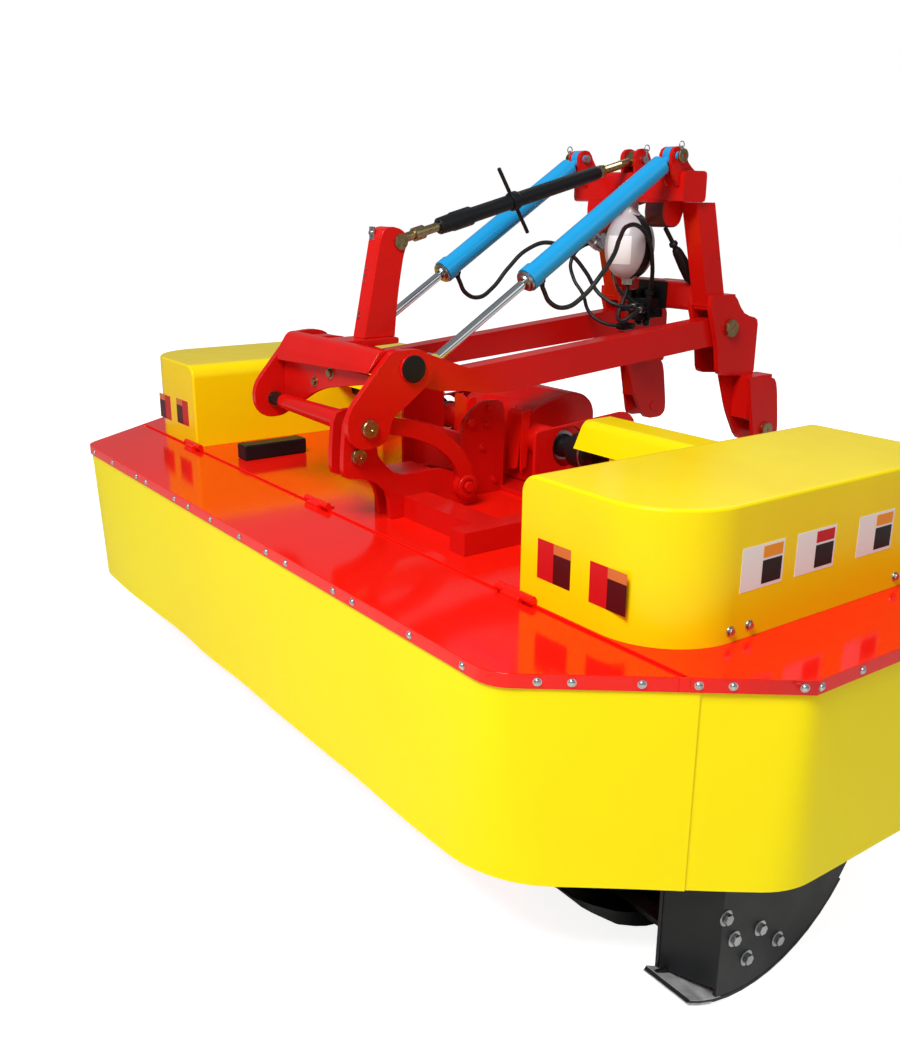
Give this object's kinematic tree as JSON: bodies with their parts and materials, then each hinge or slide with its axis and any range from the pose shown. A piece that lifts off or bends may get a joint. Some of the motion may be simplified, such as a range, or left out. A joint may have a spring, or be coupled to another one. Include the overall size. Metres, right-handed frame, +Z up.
{
  "type": "front mower conditioner",
  "caption": "Front-mounted disc mower conditioner with hung crop curtains, boxed belt-drive covers, tine rotor and a pushed lifting linkage with two cylinders and a top link.",
  "frame": {"origin": "on the ground, under the middle of the machine's box", "axes": "+X to the left-hand end of the machine, -Y is the direction of travel, +Z up"},
  "size_m": [3, 1.872, 1.698],
  "materials": {
    "red_paint": "glossy",
    "yellow_paint": "glossy",
    "yellow_curtain": "smooth coated, satin",
    "blue_paint": "glossy",
    "chrome": "polished",
    "yellow_zinc": "satin",
    "black_paint": "satin",
    "silver_paint": "satin",
    "steel": "worn",
    "hose_rubber": "matte"
  },
  "bodies": {
    "mower": {"deck_panel": "red_paint", "side_curtain_left": "yellow_curtain", "side_curtain_right": "yellow_curtain", "under_frame": "red_paint", "carrier_base": "red_paint", "head_plate_left": "red_paint", "head_plate_right": "red_paint", "head_beam": "red_paint", "nose_tube": "red_paint", "mast": "red_paint", "gearbox_cradle": "red_paint", "gearbox": "red_paint", "input_shaft": "steel", "cross_shaft_left": "steel", "shaft_cover_left": "yellow_paint", "cross_shaft_right": "steel", "shaft_cover_right": "yellow_paint", "drive_cover_left": "yellow_paint", "drive_cover_right": "yellow_paint", "document_box": "black_paint", "end_plate_left": "black_paint", "end_shoe_left": "steel", "end_plate_right": "black_paint", "end_shoe_right": "steel", "cutterbar": "black_paint", "drive_post_left": "black_paint", "drive_post_right": "black_paint", "conditioner_hood": "red_paint"},
    "front_guard": {"front_guard": "red_paint", "front_curtain": "yellow_curtain"},
    "lifting_arms": {"arm_left": "red_paint", "arm_right": "red_paint", "pivot_tube": "red_paint"},
    "headstock": {"headstock_top_beam": "red_paint", "headstock_post_left": "red_paint", "headstock_post_right": "red_paint", "headstock_cross_tube": "red_paint", "accumulator": "silver_paint", "valve_block": "black_paint", "latch_lever": "black_paint", "hose_left": "hose_rubber", "hose_right": "hose_rubber", "hose_accumulator": "hose_rubber"},
    "top_link": {"top_link_front_end": "yellow_zinc", "top_link_tube": "black_paint"},
    "cylinder_left": {"barrel_left": "blue_paint"},
    "rod_left": {"rod_left": "chrome"},
    "cylinder_right": {"barrel_right": "blue_paint"},
    "rod_right": {"rod_right": "chrome"},
    "conditioner": {"conditioner_rotor": "steel"},
    "swath_left": {"swath_board_left": "red_paint"},
    "swath_right": {"swath_board_right": "red_paint"},
    "stand_left": {"stand_leg_left": "steel"},
    "stand_right": {"stand_leg_right": "steel"},
    "disc_1": {"disc_1": "steel"},
    "disc_2": {"disc_2": "steel"},
    "disc_3": {"disc_3": "steel"},
    "disc_4": {"disc_4": "steel"},
    "disc_5": {"disc_5": "steel"},
    "disc_6": {"disc_6": "steel"}
  },
  "joints": [
    {"name": "front_guard_open", "type": "hinge", "parent": "mower", "child": "front_guard", "pos_m": [0, -0.658, 0.742], "axis": [-1, 0, 0], "range_deg": [0, 60]},
    {"name": "arms_lift", "type": "hinge", "parent": "mower", "child": "lifting_arms", "pos_m": [0, -0.519, 1.133], "axis": [1, 0, 0], "range_deg": [-13, 8]},
    {"name": "headstock_level", "type": "hinge", "parent": "lifting_arms", "child": "headstock", "pos_m": [0, 0.714, 1.156], "axis": [1, 0, 0], "range_deg": [-4.2, 6.7]},
    {"name": "top_link_swing", "type": "hinge", "parent": "mower", "child": "top_link", "pos_m": [0, -0.396, 1.435], "axis": [1, 0, 0], "range_deg": [-16.5, 10.2]},
    {"name": "cylinder_left_tilt", "type": "hinge", "parent": "headstock", "child": "cylinder_left", "pos_m": [0.2, 0.45, 1.671], "axis": [1, 0, 0], "range_deg": [-6.5, 4], "deforming": ["hose_left"]},
    {"name": "rod_left_slide", "type": "slide", "parent": "cylinder_left", "child": "rod_left", "axis": [0, -0.8477, -0.5304], "range_m": [-0.066, 0.041]},
    {"name": "cylinder_right_tilt", "type": "hinge", "parent": "headstock", "child": "cylinder_right", "pos_m": [-0.2, 0.45, 1.671], "axis": [1, 0, 0], "range_deg": [-6.5, 4], "deforming": ["hose_right"]},
    {"name": "rod_right_slide", "type": "slide", "parent": "cylinder_right", "child": "rod_right", "axis": [0, -0.8477, -0.5304], "range_m": [-0.066, 0.041]},
    {"name": "disc_1_spin", "type": "hinge", "parent": "mower", "child": "disc_1", "pos_m": [-1.028, -0.426, 0.122], "axis": [0, 0, 1], "continuous": true},
    {"name": "disc_2_spin", "type": "hinge", "parent": "mower", "child": "disc_2", "pos_m": [-0.6168, -0.426, 0.122], "axis": [0, 0, 1], "continuous": true},
    {"name": "disc_3_spin", "type": "hinge", "parent": "mower", "child": "disc_3", "pos_m": [-0.2056, -0.426, 0.122], "axis": [0, 0, 1], "continuous": true},
    {"name": "disc_4_spin", "type": "hinge", "parent": "mower", "child": "disc_4", "pos_m": [0.2056, -0.426, 0.122], "axis": [0, 0, 1], "continuous": true},
    {"name": "disc_5_spin", "type": "hinge", "parent": "mower", "child": "disc_5", "pos_m": [0.6168, -0.426, 0.122], "axis": [0, 0, 1], "continuous": true},
    {"name": "disc_6_spin", "type": "hinge", "parent": "mower", "child": "disc_6", "pos_m": [1.028, -0.426, 0.122], "axis": [0, 0, 1], "continuous": true},
    {"name": "conditioner_spin", "type": "hinge", "parent": "mower", "child": "conditioner", "pos_m": [0, 0.044, 0.35], "axis": [1, 0, 0], "continuous": true},
    {"name": "swath_board_left_swing", "type": "hinge", "parent": "mower", "child": "swath_left", "pos_m": [1.369, 0.386, 0.355], "axis": [0, 0, 1], "range_deg": [-15, 20]},
    {"name": "swath_board_right_swing", "type": "hinge", "parent": "mower", "child": "swath_right", "pos_m": [-1.369, 0.386, 0.355], "axis": [0, 0, 1], "range_deg": [-20, 15]},
    {"name": "stand_left_slide", "type": "slide", "parent": "mower", "child": "stand_left", "axis": [0, 0, 1], "range_m": [0, 0.3]},
    {"name": "stand_right_slide", "type": "slide", "parent": "mower", "child": "stand_right", "axis": [0, 0, 1], "range_m": [0, 0.3]}
  ],
  "couplings": [
    {"joint": "headstock_level", "follows": "arms_lift", "ratio": -0.498},
    {"joint": "top_link_swing", "follows": "arms_lift", "ratio": 1.2475},
    {"joint": "cylinder_left_tilt", "follows": "arms_lift", "ratio": 0.4786},
    {"joint": "rod_left_slide", "follows": "arms_lift", "m_per_rad": 0.28736},
    {"joint": "cylinder_right_tilt", "follows": "arms_lift", "ratio": 0.4786},
    {"joint": "rod_right_slide", "follows": "arms_lift", "m_per_rad": 0.28736},
    {"joint": "disc_2_spin", "follows": "disc_1_spin", "ratio": -1},
    {"joint": "disc_3_spin", "follows": "disc_1_spin", "ratio": 1},
    {"joint": "disc_4_spin", "follows": "disc_1_spin", "ratio": -1},
    {"joint": "disc_5_spin", "follows": "disc_1_spin", "ratio": 1},
    {"joint": "disc_6_spin", "follows": "disc_1_spin", "ratio": -1}
  ]
}
